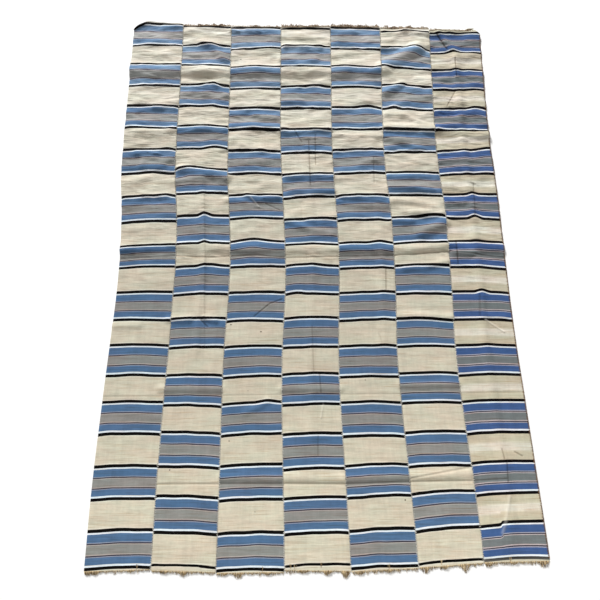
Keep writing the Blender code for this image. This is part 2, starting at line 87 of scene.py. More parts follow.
# soft folds: height, reach of the slope towards the foot and towards the head, and the points
# (x, along) its crest runs through, left to right
folds = [
    # head quarter
    (0.0091, 0.028, 0.045, [(-0.600, 1.455), (-0.250, 1.450), (0.020, 1.452), (0.240, 1.456)]),
    (0.0104, 0.040, 0.030, [(0.228, 1.468), (0.262, 1.492), (0.310, 1.522), (0.350, 1.548)]),
    (0.0046, 0.014, 0.018, [(0.236, 1.545), (0.290, 1.547)]),
    (0.0046, 0.014, 0.018, [(0.330, 1.553), (0.392, 1.552)]),
    (0.0039, 0.012, 0.016, [(0.310, 1.612), (0.385, 1.602)]),
    (0.0065, 0.016, 0.022, [(-0.075, 1.550), (0.035, 1.550)]),
    (0.0065, 0.020, 0.022, [(-0.092, 1.497), (0.022, 1.497)]),
    (0.0072, 0.024, 0.022, [(-0.345, 1.566), (-0.318, 1.560), (-0.296, 1.532), (-0.268, 1.498)]),
    (0.0046, 0.014, 0.018, [(-0.300, 1.405), (-0.262, 1.362)]),
    (0.0039, 0.012, 0.016, [(-0.255, 1.612), (-0.165, 1.612)]),
    (0.0033, 0.012, 0.014, [(-0.130, 1.575), (-0.100, 1.580)]),
    (0.0039, 0.014, 0.016, [(-0.470, 1.632), (-0.415, 1.632)]),
    (0.0072, 0.020, 0.026, [(0.236, 1.372), (0.262, 1.384), (0.292, 1.402)]),
    (0.0039, 0.014, 0.018, [(0.305, 1.386), (0.345, 1.388)]),
    (0.0039, 0.012, 0.016, [(0.335, 1.424), (0.385, 1.424)]),
    (0.0039, 0.013, 0.016, [(0.365, 1.358), (0.392, 1.358)]),
    (0.0059, 0.016, 0.020, [(0.420, 1.606), (0.446, 1.566), (0.462, 1.540)]),
    (0.0046, 0.016, 0.016, [(0.462, 1.505), (0.466, 1.432)]),
    # between the head quarter and the middle
    (0.0052, 0.016, 0.022, [(-0.170, 1.288), (-0.110, 1.278)]),
    (0.0046, 0.014, 0.018, [(0.240, 1.292), (0.292, 1.288), (0.332, 1.266)]),
    (0.0039, 0.014, 0.018, [(-0.480, 1.318), (-0.420, 1.316)]),
    (0.0065, 0.020, 0.026, [(-0.425, 1.234), (-0.340, 1.239), (-0.262, 1.239)]),
    (0.0065, 0.018, 0.026, [(-0.240, 1.246), (-0.120, 1.244), (-0.080, 1.234)]),
    (0.0059, 0.016, 0.022, [(-0.070, 1.228), (0.015, 1.234), (0.064, 1.234)]),
    (0.0039, 0.012, 0.018, [(0.072, 1.216), (0.222, 1.214)]),
    (0.0084, 0.024, 0.028, [(0.232, 1.238), (0.300, 1.242), (0.388, 1.238)]),
    (0.0052, 0.018, 0.022, [(0.392, 1.228), (0.470, 1.222), (0.545, 1.218)]),
    (0.0065, 0.022, 0.024, [(-0.565, 1.226), (-0.500, 1.230), (-0.430, 1.230)]),
    (0.0052, 0.020, 0.024, [(0.238, 1.206), (0.285, 1.192), (0.332, 1.170)]),
    (0.0046, 0.018, 0.022, [(-0.210, 1.178), (-0.145, 1.172)]),
    (0.0046, 0.016, 0.020, [(-0.520, 1.155), (-0.455, 1.152)]),
    (0.0052, 0.018, 0.024, [(-0.500, 1.108), (-0.440, 1.112)]),
    (0.0072, 0.022, 0.022, [(-0.385, 1.100), (-0.300, 1.088), (-0.248, 1.070)]),
    (0.0052, 0.018, 0.020, [(-0.070, 1.074), (0.065, 1.076)]),
    (0.0046, 0.014, 0.018, [(-0.060, 1.026), (0.065, 1.026)]),
    (0.0052, 0.015, 0.020, [(0.236, 1.040), (0.300, 1.036), (0.378, 1.024)]),
    (0.0046, 0.014, 0.018, [(0.236, 1.074), (0.375, 1.072)]),
    (0.0065, 0.018, 0.018, [(-0.185, 1.010), (-0.150, 0.999), (-0.098, 1.004)]),
    (0.0039, 0.014, 0.018, [(-0.245, 0.996), (-0.190, 0.992)]),
    (0.0046, 0.018, 0.024, [(0.095, 1.008), (0.210, 1.002)]),
    (0.0046, 0.018, 0.020, [(0.240, 0.992), (0.300, 0.990), (0.370, 0.972)]),
    (0.0046, 0.016, 0.020, [(0.402, 0.990), (0.452, 0.988)]),
    (0.0039, 0.016, 0.020, [(-0.540, 1.004), (-0.425, 1.010)]),
    (0.0078, 0.026, 0.026, [(0.318, 0.890), (0.350, 0.904), (0.388, 0.922)]),
    (0.0059, 0.018, 0.020, [(0.296, 0.952), (0.380, 0.954)]),
    (0.0046, 0.014, 0.018, [(0.238, 0.930), (0.292, 0.926)]),
    (0.0039, 0.014, 0.018, [(-0.070, 0.930), (0.000, 0.900), (0.060, 0.884)]),
    # the blanket was kept folded in half: a broad rise beside the middle crease
    (0.0055, 0.022, 0.026, [(-0.570, 0.840), (-0.380, 0.846), (-0.150, 0.842), (0.080, 0.840),
                            (0.3068, 0.842), (0.393, 0.850), (0.550, 0.838)]),
    (0.0052, 0.015, 0.018, [(-0.560, 0.836), (-0.510, 0.838)]),
    (0.0059, 0.018, 0.020, [(0.410, 0.828), (0.460, 0.826)]),
    (0.0039, 0.016, 0.018, [(0.265, 0.782), (0.315, 0.782), (0.385, 0.800)]),
    # foot half
    (0.0046, 0.015, 0.018, [(-0.390, 0.632), (-0.330, 0.632)]),
    (0.0046, 0.013, 0.016, [(-0.296, 0.636), (-0.262, 0.628)]),
    (0.0046, 0.014, 0.018, [(0.240, 0.640), (0.300, 0.642), (0.382, 0.636)]),
    (0.0026, 0.012, 0.016, [(0.470, 0.640), (0.530, 0.636)]),
    (0.0026, 0.014, 0.018, [(-0.560, 0.612), (-0.470, 0.614)]),
    (0.0029, 0.014, 0.018, [(-0.400, 0.440), (-0.240, 0.440)]),
    (0.0029, 0.014, 0.018, [(-0.080, 0.440), (0.075, 0.440)]),
    (0.0033, 0.014, 0.018, [(0.236, 0.450), (0.385, 0.452)]),
    (0.0026, 0.014, 0.016, [(-0.175, 0.378), (-0.140, 0.392), (-0.115, 0.408)]),
    (0.0026, 0.014, 0.020, [(-0.230, 0.216), (0.080, 0.214), (0.395, 0.222)]),
]
# soft ridges along a strip: strip, share of its width, along from, along to, height, half width
longFolds = [
    (2, 0.50, 0.56, 1.08, 0.0035, 0.020),
    (4, 0.50, 0.33, 1.27, 0.0020, 0.020),
    (5, 0.77, 0.58, 1.16, 0.0020, 0.020),
    (7, 0.50, 0.12, 1.52, 0.0035, 0.022),
]
# head corners: how far in and how far down the cut across runs, its lift and its reach
headCorners = {
    "turned": {"inward": 0.042, "down": 0.030, "lift": 0.004, "reach": 0.075},
    "drawn": {"inward": 0.018, "down": 0.018, "lift": 0.002, "reach": 0.040},
}

# pressed creases: depth (below 0 is a trough), half width, how strongly it is painted, above 0
# darker as painted shade and below 0 lighter as painted highlight, and the points (x, along) it
# runs through
creases = [
    (-0.0011, 0.0045, 0.40, [(-0.540, 0.812), (-0.382, 0.821), (-0.303, 0.815), (-0.150, 0.823),
                             (-0.070, 0.814), (0.080, 0.817), (0.236, 0.820), (0.393, 0.832),
                             (0.550, 0.813)]),
    (-0.0005, 0.0040, 0.15, [(-0.556, 0.421), (-0.393, 0.423), (-0.079, 0.425), (0.231, 0.427),
                             (0.555, 0.431)]),
    (-0.0010, 0.0045, 0.30, [(-0.387, 0.202), (-0.074, 0.202), (0.083, 0.201), (0.244, 0.206),
                             (0.402, 0.208), (0.485, 0.212)]),
    (-0.0010, 0.0045, 0.30, [(0.244, 0.214), (0.395, 0.240)]),
    (0.0012, 0.0060, 0.05, [(-0.313, 1.020), (-0.306, 0.900), (-0.300, 0.818), (-0.298, 0.718),
                            (-0.290, 0.561)]),
    (-0.0009, 0.0035, 0.55, [(-0.003, 1.195), (0.000, 1.085), (0.001, 1.045)]),
    (-0.0009, 0.0035, 0.55, [(0.017, 1.217), (0.017, 1.115)]),
    (-0.0009, 0.0035, 0.55, [(-0.045, 1.231), (-0.024, 1.194)]),
    (-0.0006, 0.0035, 0.25, [(0.002, 0.613), (0.006, 0.486)]),
    (-0.0008, 0.0035, 0.45, [(0.021, 0.480), (0.024, 0.430)]),
    (0.0008, 0.0040, -0.30, [(0.029, 0.399), (0.023, 0.365)]),
    (-0.0008, 0.0040, 0.30, [(0.015, 0.317), (0.014, 0.269)]),
    (-0.0008, 0.0035, 0.35, [(0.191, 1.136), (0.190, 1.054)]),
    (-0.0009, 0.0035, 0.45, [(0.211, 0.777), (0.209, 0.715)]),
    (-0.0006, 0.0035, 0.15, [(0.183, 0.590), (0.192, 0.560)]),
    (-0.0008, 0.0040, 0.35, [(0.483, 1.050), (0.482, 1.012), (0.478, 0.945)]),
    (-0.0012, 0.0040, 0.60, [(0.414, 0.862), (0.416, 0.795)]),
    (-0.0006, 0.0060, 0.00, [(0.437, 0.779), (0.462, 0.719)]),
    (-0.0010, 0.0060, 0.35, [(0.467, 0.700), (0.462, 0.641)]),
    (0.0012, 0.0045, -0.50, [(0.475, 0.629), (0.523, 0.595)]),
    (-0.0010, 0.0040, 0.45, [(0.492, 0.255), (0.489, 0.205)]),
    (-0.0010, 0.0035, 0.50, [(0.482, 0.285), (0.486, 0.261)]),
    (-0.0010, 0.0035, 0.50, [(0.515, 0.278), (0.532, 0.268)]),
    (0.0012, 0.0070, -0.35, [(0.488, 0.170), (0.472, 0.110), (0.462, 0.085)]),
    (-0.0014, 0.0040, 0.85, [(0.417, 1.596), (0.445, 1.539)]),
    (-0.0012, 0.0035, 0.70, [(0.466, 1.500), (0.465, 1.432)]),
    (-0.0010, 0.0035, 0.50, [(0.457, 1.377), (0.427, 1.321)]),
    (-0.0010, 0.0035, 0.50, [(-0.157, 0.640), (-0.114, 0.677), (-0.081, 0.690)]),
    (0.0010, 0.0040, -0.40, [(-0.175, 1.004), (-0.150, 0.975)]),
    (-0.0010, 0.0035, 0.50, [(-0.130, 0.985), (-0.090, 0.965)]),
    (-0.0010, 0.0040, 0.60, [(-0.300, 0.628), (-0.283, 0.612)]),
    (0.0000, 0.0110, -0.25, [(0.414, 0.022), (0.568, 0.027)]),
]


def lineX(line, along):
    # x of a long line of the blanket: 0 the left edge, 1 to 6 the seams, 7 the right edge
    along = np.asarray(along, float)
    rows = sections[:, 0]
    places = sections[:, line + 1]
    last = len(rows) - 1
    upper = np.clip(np.searchsorted(rows, along), 1, last)
    lower = upper - 1
    t = (along - rows[lower]) / (rows[upper] - rows[lower])
    start, end = places[lower], places[upper]
    slopeStart = (end - places[np.maximum(lower - 1, 0)]) / 2
    slopeEnd = (places[np.minimum(upper + 1, last)] - start) / 2
    weight = 2 * t ** 3 - 3 * t ** 2 + 1
    curve = start * weight + end * (1 - weight)
    curve += slopeStart * (t ** 3 - 2 * t ** 2 + t) + slopeEnd * (t ** 3 - t ** 2)
    outside = (along <= blanket["straightBelow"]) | (along >= blanket["straightAbove"])
    return np.where(outside, start + (end - start) * t, curve)


def hump(distance, halfWidth):
    # 1 on the crest, falling smoothly to 0 at halfWidth
    inside = np.clip(distance / halfWidth, 0.0, 1.0)
    return 0.5 + 0.5 * np.cos(math.pi * inside)


def runOut(value, start, end, fade):
    # 1 from start to end, falling to 0 over the fade beyond them
    outside = np.maximum(np.maximum(start - value, value - end), 0.0)
    return hump(outside, fade)


def besidePath(x, along, path):
    # shortest distance from many points to a chain of straight runs, and the side they lie on:
    # 1 beside it towards the head, -1 towards the foot, between them round its ends
    nearest = np.full(len(x), 1e9)
    side = np.zeros(len(x))
    for (x0, a0), (x1, a1) in zip(path[:-1], path[1:]):
        runX, runA = x1 - x0, a1 - a0
        t = ((x - x0) * runX + (along - a0) * runA) / (runX ** 2 + runA ** 2)
        t = np.clip(t, 0.0, 1.0)
        distance = np.hypot(x - x0 - runX * t, along - a0 - runA * t)
        across = (runX * (along - a0) - runA * (x - x0)) / math.hypot(runX, runA)
        closer = distance < nearest
        side = np.where(closer, across / np.maximum(distance, 1e-6), side)
        nearest = np.where(closer, distance, nearest)
    return nearest, np.clip(side, -1.0, 1.0)


def softLift(x, along):
    # height of the cloth's underside over the floor, from the soft folds
    squares = np.zeros(len(x))
    for height, footReach, headReach, path in folds:
        distance, side = besidePath(x, along, path)
        reach = footReach + (headReach - footReach) * (0.5 + 0.5 * side)
        squares += (height * hump(distance, reach)) ** 2
    for strip, share, start, end, height, halfWidth in longFolds:
        left = lineX(strip - 1, along)
        crest = left + (lineX(strip, along) - left) * share
        fade = runOut(along, start, end, blanket["foldFade"])
        squares += (height * fade * hump(abs(x - crest), halfWidth)) ** 2
    for name, line, edge in (("turned", 0, stripEnds[0]["head"][0]),
                             ("drawn", stripCount, stripEnds[-1]["head"][1])):
        corner = headCorners[name]
        distance = np.hypot(x - lineX(line, edge), along - edge)
        squares += (corner["lift"] * hump(distance, corner["reach"])) ** 2
    return np.sqrt(squares)


# loose waves and small wrinkles, stronger towards the head: waves and wrinkles per metre across
# and along, how far they slant, and their height on the calm foot and on the rumpled head;
# the rumpled cloth stands a little off the floor
undulation = {
    "calmBelow": 0.62,
    "rumpledAbove": 1.18,
    "rise": 0.0018,
    "crestLevel": 0.4,          # the wrinkles are sharp little crests
    "crestDepth": 1.8,
    "waves": {"across": 8.0, "along": 17.0, "slant": 0.0, "calm": 0.0004, "rumpled": 0.0024},
    "ripples": {"across": 13.0, "along": 36.0, "slant": 6.0, "calm": 0.0004, "rumpled": 0.0050},
    "wrinkles": {"across": 16.0, "along": 62.0, "slant": -16.0, "calm": 0.0002,
                 "rumpled": 0.0028},
}


def noiseAt(across, along, layer):
    return np.array([noise.noise(Vector((a, b, layer))) for a, b in zip(across, along)])


def undulate(x, along):
    spread = undulation["rumpledAbove"] - undulation["calmBelow"]
    upper = np.clip((along - undulation["calmBelow"]) / spread, 0.0, 1.0)
    total = np.zeros(len(x))
    for layer, kind in enumerate(("waves", "ripples", "wrinkles")):
        size = undulation[kind]
        slant = size["slant"]
        wave = noiseAt(x * size["across"] + along * slant, along * size["along"] - x * slant,
                       4.0 * layer)
        if kind == "wrinkles":
            wave = undulation["crestLevel"] - undulation["crestDepth"] * abs(wave)
        total += (size["calm"] + (size["rumpled"] - size["calm"]) * upper) * wave
    return np.maximum(total + undulation["rise"] * upper, 0.0)


def creaseRelief(x, along):
    # height of the pressed creases, and their painted shading: shade in troughs, highlight along
    # raised ones
    height = np.zeros(len(x))
    paintedCreaseShading = np.zeros(len(x))
    for depth, halfWidth, creaseShadingAmount, path in creases:
        profile = hump(besidePath(x, along, path)[0], halfWidth)
        height += depth * profile
        paintedCreaseShading += creaseShadingAmount * profile
    return height, np.clip(paintedCreaseShading, -1.0, 1.0)


def addObject(name, data):
    made = bpy.data.objects.new(name, data)
    bpy.context.scene.collection.objects.link(made)
    return made


def addPiece(name, mesh, solid=None):
    # a finished piece of the blanket, in place of a solid where it has one
    piece = addObject(name, mesh)
    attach(piece, "root")
    if solid:
        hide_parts(solid)
    return piece


def meshFrom(bm, name, material):
    mesh = bpy.data.meshes.new(name)
    bm.to_mesh(mesh)
    bm.free()
    mesh.materials.append(material)
    return mesh


def smoothen(mesh):
    mesh.shade_smooth()
    mesh.set_sharp_from_angle(angle=math.radians(blanket["smoothAngle"]))


def newMaterial(name, roughness, specular):
    material = bpy.data.materials.new(name)
    material.use_nodes = True
    shader = material.node_tree.nodes["Principled BSDF"]
    shader.inputs["Roughness"].default_value = roughness
    shader.inputs["Specular IOR Level"].default_value = specular
    return material, material.node_tree, shader


def addNode(tree, kind, values=None, **settings):
    made = tree.nodes.new(kind)
    for name, value in settings.items():
        setattr(made, name, value)
    for name, value in (values or {}).items():
        if isinstance(value, bpy.types.NodeSocket):
            tree.links.new(value, made.inputs[name])
        else:
            made.inputs[name].default_value = value
    return made


def calc(tree, operation, first, second=None):
    values = {0: first}
    if second is not None:
        values[1] = second
    return addNode(tree, "ShaderNodeMath", values, operation=operation).outputs[0]


def times(tree, value, *factors):
    for factor in factors:
        value = calc(tree, "MULTIPLY", value, factor)
    return value


def mixColour(tree, factor, first, second, blend="MIX"):
    made = addNode(tree, "ShaderNodeMix", {0: factor, 6: first, 7: second},
                   data_type="RGBA", blend_type=blend)
    return made.outputs[2]


def tinted(tree, colour, tint):
    return mixColour(tree, 1.0, colour, tint, "MULTIPLY")


def mapRange(tree, value, low, high, toLow=0.0, toHigh=1.0):
    made = addNode(tree, "ShaderNodeMapRange",
                   {0: value, 1: low, 2: high, 3: toLow, 4: toHigh})
    return made.outputs[0]


def startGroup(name, inputs, outputs):
    tree = bpy.data.node_groups.new(name, "ShaderNodeTree")
    for label, kind, value in inputs:
        socket = tree.interface.new_socket(label, in_out="INPUT", socket_type=kind)
        if value is not None:
            socket.default_value = value
    for label, kind in outputs:
        tree.interface.new_socket(label, in_out="OUTPUT", socket_type=kind)
    return tree, tree.nodes.new("NodeGroupInput"), tree.nodes.new("NodeGroupOutput")


def threadPlace(tree, threads):
    # the two thread coordinates: the strip's number and the place across it, and along it
    split = addNode(tree, "ShaderNodeSeparateXYZ", {0: threads})
    return split.outputs[0], split.outputs[1]


def stretched(tree, vector, across, along, turn=0.6):
    # thread coordinates in metres, scaled for a streaky pattern and turned so that the cells of
    # the noise don't line up with the threads
    made = addNode(tree, "ShaderNodeMapping", {"Vector": vector, "Scale": (across, along, 1.0),
                                               "Rotation": (0.0, 0.0, turn)})
    return made.outputs[0]


def streaks(tree, vector, across, along, detail=2.0, roughness=0.6):
    made = addNode(tree, "ShaderNodeTexNoise",
                   {"Vector": stretched(tree, vector, across, along), "Scale": 1.0,
                    "Detail": detail, "Roughness": roughness},
                   noise_dimensions="2D")
    return made.outputs[0]


def srgb(red, green, blue):
    channels = []
    for value in (red, green, blue):
        value /= 255
        low = value / 12.92
        high = ((value + 0.055) / 1.055) ** 2.4
        channels.append(low if value <= 0.04045 else high)
    return (*channels, 1.0)


print("blanket: cotton finishes")

finish = {
    "lightLevel": 1.10,        # flat cloth in the middle of the scene receives this much light
    "warpPitch": 0.0016,
    "weftPitch": 0.0009,
    "weaveDepth": 0.00004,
    "betweenEnds": 0.6,        # relief of a pick between two warp ends; over an end 1 is added
    "roughness": 0.88,
    "specular": 0.1,
    "sheen": {"Sheen Weight": 0.02, "Sheen Roughness": 0.5},
    "slubs": 0.75,
    "headPaling": {"usual": 0.29, "darkLot": 0.10},   # the head end is paler by up to this much
    "yarnRoughness": 0.85,
    "yarnSpecular": 0.15,
    "fibres": (2600.0, 900.0),
    "fibreDepth": 0.0003,
}

# black lines between the blocks: half their width as a share of a block, and how far they push
# the other stripes aside. A range is the two rows between which that grows or shrinks
blackLine = {
    "foot": 0.050,
    "middle": 0.060,
    "head": 0.044,
    "widen": (0.45, 1.15),
    "narrow": (1.33, 1.60),
    "push": 0.021,
    "pushMore": (0.40, 1.05),
    "pushLess": (1.30, 1.60),
    "pushLost": 2.2,           # times the push
    "ragged": (120.0, 60.0),
}

# streaks a metre across and along, detail, roughness, and by what share they shade the yarn
toneLayers = [
    ((60.0, 6.0, 5.0, 0.9), 0.07),      # warp ends
    ((5.0, 60.0, 4.0, 0.8), 0.075),     # picks
    ((12.0, 22.0, 4.0, 0.8), 0.075),    # soft patches
]
# the other changes of tone: "streaks" as above, "range" the values between which they show,
# with the level at each where it isn't 0 and 1
tones = {
    "layerRange": (0.3, 0.7),
    "slubStreaks": (11.0, 420.0, 3.0),
    "slubRange": (0.54, 0.76),
    "slubTint": (218, 198, 178),
    # painted shade along the blanket: lighter at the foot, darker over the middle and towards the
    # head
    "footRange": (0.10, 0.50, 1.06, 0.935),
    "headRange": (1.00, 1.60, 1.0, 0.93),
    "paintedLightStrips": (5.5, 6.0, 1.0, 1.03),    # painted light: strips 6 and 7 are made 3% lighter
    "coolRange": (0.20, 0.90),
    "coolTint": (250, 251, 254),
    "hueStreaks": (10.0, 26.0, 4.0),
    "hueRange": (0.35, 0.65),
    "hueTints": ((255, 250, 248), (250, 255, 253)),
    # painted shade in the crease troughs and painted highlight along the raised creases
    "creaseShadowTint": (140, 122, 108),
    "creaseHighlightColour": (240, 236, 226),
    "brightestCreaseHighlight": 0.45,
    "palingRange": (0.80, 1.60),
    "patchStreaks": (8.0, 30.0, 3.0),
    "patchRange": (0.36, 0.64, 0.45, 1.5),
}

# wrinkles too fine for the mesh: how many a metre, their turn, and their depth in metres
# between two rows
fineWrinkles = {
    "across": 14.0,
    "along": 75.0,
    "turn": -0.25,
    "noise": {"Detail": 2.5, "Roughness": 0.55, "Distortion": 0.4},
    "depthRange": (0.60, 1.20, 0.0006, 0.0030),
}

# yarn colours as they look in daylight
yarns = {
    "usual": {
        "black": (4, 3, 3), "white": (232, 240, 248), "blue": (84, 115, 152),
        "dark": (52, 48, 62), "cool": (146, 154, 174), "warm": (174, 166, 162),
        "grey": (145, 145, 142), "cream": (216, 208, 188), "pale": (226, 220, 204),
    },
    "darkLot": {
        "black": (6, 4, 6), "white": (236, 240, 246), "blue": (68, 96, 146),
        "dark": (50, 50, 66), "cool": (176, 176, 192), "warm": (196, 184, 186),
        "grey": (120, 126, 128), "cream": (228, 221, 206), "half": (216, 208, 188),
        "tan": (206, 197, 174),
    },
}

# widths of the weft bands in millimetres, from the foot of a block to its head
blueBands = [
    ("black", 3.2), ("white", 5.2), ("blue", 15.8), ("cool", 2.4), ("dark", 2.6), ("warm", 2.4),
    ("grey", 20.3), ("warm", 2.2), ("dark", 2.6), ("cool", 1.8), ("blue", 18.4), ("white", 5.4),
    ("black", 3.2),
]
creamBands = {
    "usual": [("black", 3.2), ("pale", 3.2), ("cream", 58.7), ("pale", 3.2), ("black", 3.2)],
    "darkLot": [("black", 3.2), ("tan", 19.7), ("half", 3.0), ("cream", 18.0), ("half", 3.0),
                ("tan", 19.7), ("black", 3.2)],
}


def yarnColour(lot, name):
    colour = srgb(*yarns[lot][name])
    return (*[value / finish["lightLevel"] for value in colour[:3]], 1.0)


def makeStripeCoordinate():
    # block number to a place on the stripe ramp, with a thread's raggedness, and a mask of the
    # black lines between the blocks
    tree, inner, outer = startGroup(
        "stripeCoordinate",
        [("Block", "NodeSocketFloat", 0.0), ("Threads", "NodeSocketVector", None),
         ("Ragged", "NodeSocketFloat", 0.006)],
        [("Place", "NodeSocketFloat"), ("Line", "NodeSocketFloat")])
    threads = inner.outputs["Threads"]
    along = threadPlace(tree, threads)[1]
    wave = calc(tree, "SUBTRACT", streaks(tree, threads, *blackLine["ragged"]), 0.5)
    shifted = calc(tree, "ADD", inner.outputs["Block"],
                   times(tree, wave, inner.outputs["Ragged"]))
    pair = calc(tree, "FLOORED_MODULO", shifted, 2.0)
    half = calc(tree, "FLOOR", pair)
    middle = calc(tree, "SUBTRACT", calc(tree, "SUBTRACT", pair, half), 0.5)
    # the black lines are beaten looser, so wider, up to near the head
    reach = mapRange(tree, along, *blackLine["widen"], blackLine["foot"], blackLine["middle"])
    loss = blackLine["middle"] - blackLine["head"]
    reach = calc(tree, "SUBTRACT", reach, mapRange(tree, along, *blackLine["narrow"], 0.0, loss))
    border = calc(tree, "SUBTRACT", 0.5, calc(tree, "ABSOLUTE", middle))
    tree.links.new(calc(tree, "LESS_THAN", border, reach), outer.inputs["Line"])
    push = mapRange(tree, along, *blackLine["pushMore"], 1.0, 1.0 + blackLine["push"])
    loss = blackLine["pushLost"] * blackLine["push"]
    push = calc(tree, "SUBTRACT", push, mapRange(tree, along, *blackLine["pushLess"], 0.0, loss))
    inside = calc(tree, "ADD", times(tree, middle, push), 0.5)
    # the place stays off the ends of its block
    inside = mapRange(tree, inside, 0.001, 0.999, 0.001, 0.999)
    tree.links.new(times(tree, calc(tree, "ADD", half, inside), 0.5), outer.inputs["Place"])
    return tree


def grey(tree, level):
    return addNode(tree, "ShaderNodeCombineColor", {0: level, 1: level, 2: level}).outputs[0]


def makeYarnTone():
    # slubs along the weft, fine warp streaks, soft patches, painted shade and painted highlight
    # at the creases, painted light brighter at the foot and dimmer up the blanket, and a paling
    # that grows towards the head
    tree, inner, outer = startGroup(
        "yarnTone",
        [("Color", "NodeSocketColor", None), ("Threads", "NodeSocketVector", None),
         ("Painted Crease Shading", "NodeSocketFloat", 0.0), ("Slubs", "NodeSocketFloat", 0.5),
         ("Head Paling", "NodeSocketFloat", 0.0)],
        [("Color", "NodeSocketColor")])
    colour, threads, paintedCreaseShading = [inner.outputs[name] for name in ("Color", "Threads", "Painted Crease Shading")]
    across, along = threadPlace(tree, threads)
    slub = mapRange(tree, streaks(tree, threads, *tones["slubStreaks"]), *tones["slubRange"])
    slub = times(tree, slub, inner.outputs["Slubs"])
    colour = mixColour(tree, slub, colour, tinted(tree, colour, srgb(*tones["slubTint"])))
    low, high = tones["layerRange"]
    level = times(tree, *[
        mapRange(tree, streaks(tree, threads, *pattern), low, high, 1 - shade, 1 + shade)
        for pattern, shade in toneLayers])
    # painted shade along the blanket: lighter at the foot, darker over the middle and towards the
    # head
    paintedShadeAlong = times(tree, mapRange(tree, along, *tones["footRange"]),
                   mapRange(tree, along, *tones["headRange"]))
    # painted light: strips 6 and 7 lighter
    level = times(tree, level, paintedShadeAlong, mapRange(tree, across, *tones["paintedLightStrips"]))
    colour = tinted(tree, colour, grey(tree, level))
    cooler = mixColour(tree, mapRange(tree, along, *tones["coolRange"]), (1.0, 1.0, 1.0, 1.0),
                       srgb(*tones["coolTint"]))
    colour = tinted(tree, colour, cooler)
    hue = mapRange(tree, streaks(tree, threads, *tones["hueStreaks"]), *tones["hueRange"])
    warm, cool = [srgb(*tint) for tint in tones["hueTints"]]
    colour = tinted(tree, colour, mixColour(tree, hue, warm, cool))
    # painted shade: darker in the crease troughs
    creaseShadowed = tinted(tree, colour, srgb(*tones["creaseShadowTint"]))
    colour = mixColour(tree, mapRange(tree, paintedCreaseShading, 0.0, 1.0), colour, creaseShadowed)
    # painted highlight: lighter along the raised creases
    creaseHighlight = mapRange(tree, paintedCreaseShading, 0.0, -1.0, 0.0, tones["brightestCreaseHighlight"])
    colour = mixColour(tree, creaseHighlight, colour, srgb(*tones["creaseHighlightColour"]))
    patchy = mapRange(tree, streaks(tree, threads, *tones["patchStreaks"]), *tones["patchRange"])
    paled = times(tree, mapRange(tree, along, *tones["palingRange"]),
                     inner.outputs["Head Paling"], patchy)
    gamma = calc(tree, "SUBTRACT", 1.0, paled)
    colour = addNode(tree, "ShaderNodeGamma", {0: colour, 1: gamma}).outputs[0]
    tree.links.new(colour, outer.inputs["Color"])
    return tree


def makeWrinkles():
    # fine wrinkles too narrow for the mesh, in metres of height, stronger towards the head
    tree, inner, outer = startGroup(
        "wrinkles", [("Threads", "NodeSocketVector", None)], [("Height", "NodeSocketFloat")])
    threads = inner.outputs["Threads"]
    turned = stretched(tree, threads, fineWrinkles["across"], fineWrinkles["along"],
                       fineWrinkles["turn"])
    wave = addNode(tree, "ShaderNodeTexNoise",
                   {"Vector": turned, "Scale": 1.0, **fineWrinkles["noise"]},
                   noise_dimensions="2D").outputs[0]
    depth = mapRange(tree, threadPlace(tree, threads)[1], *fineWrinkles["depthRange"])
    tree.links.new(times(tree, wave, depth), outer.inputs["Height"])
    return tree


def makePlainWeave():
    # weft threads over and under the warp
    tree, inner, outer = startGroup(
        "plainWeave",
        [("Threads", "NodeSocketVector", None),
         ("Warp Pitch", "NodeSocketFloat", finish["warpPitch"]),
         ("Weft Pitch", "NodeSocketFloat", finish["weftPitch"])],
        [("Height", "NodeSocketFloat")])
    across, along = threadPlace(tree, inner.outputs["Threads"])
    end = calc(tree, "DIVIDE", across, inner.outputs["Warp Pitch"])
    pick = calc(tree, "DIVIDE", along, inner.outputs["Weft Pitch"])
    turn = times(tree, calc(tree, "FLOOR", end), 0.5)
    phases = [calc(tree, "FRACT", calc(tree, "ADD", pick, turn)), calc(tree, "FRACT", end)]
    pickRidge, endRidge = [calc(tree, "SINE", times(tree, phase, math.pi)) for phase in phases]
    height = times(tree, pickRidge, calc(tree, "ADD", endRidge, finish["betweenEnds"]))
    tree.links.new(height, outer.inputs["Height"])
    return tree


stripeCoordinate = makeStripeCoordinate()
yarnTone = makeYarnTone()
plainWeave = makePlainWeave()
wrinkles = makeWrinkles()


def fillRamp(ramp, lot):
    # one constant stop for each weft band of a blue block and then of a cream block
    stops = []
    for half, bands in enumerate((blueBands, creamBands[lot])):
        total = sum(width for name, width in bands)
        place = 0.0
        for name, width in bands:
            stops.append((0.5 * half + 0.5 * place / total, yarnColour(lot, name)))
            place += width
    ramp.interpolation = "CONSTANT"
    while len(ramp.elements) < len(stops):
        ramp.elements.new(1.0)
    for element, (position, colour) in zip(ramp.elements, stops):
        element.position = position
        element.color = colour


def placeGroup(tree, group, values):
    return addNode(tree, "ShaderNodeGroup", values, node_tree=group)


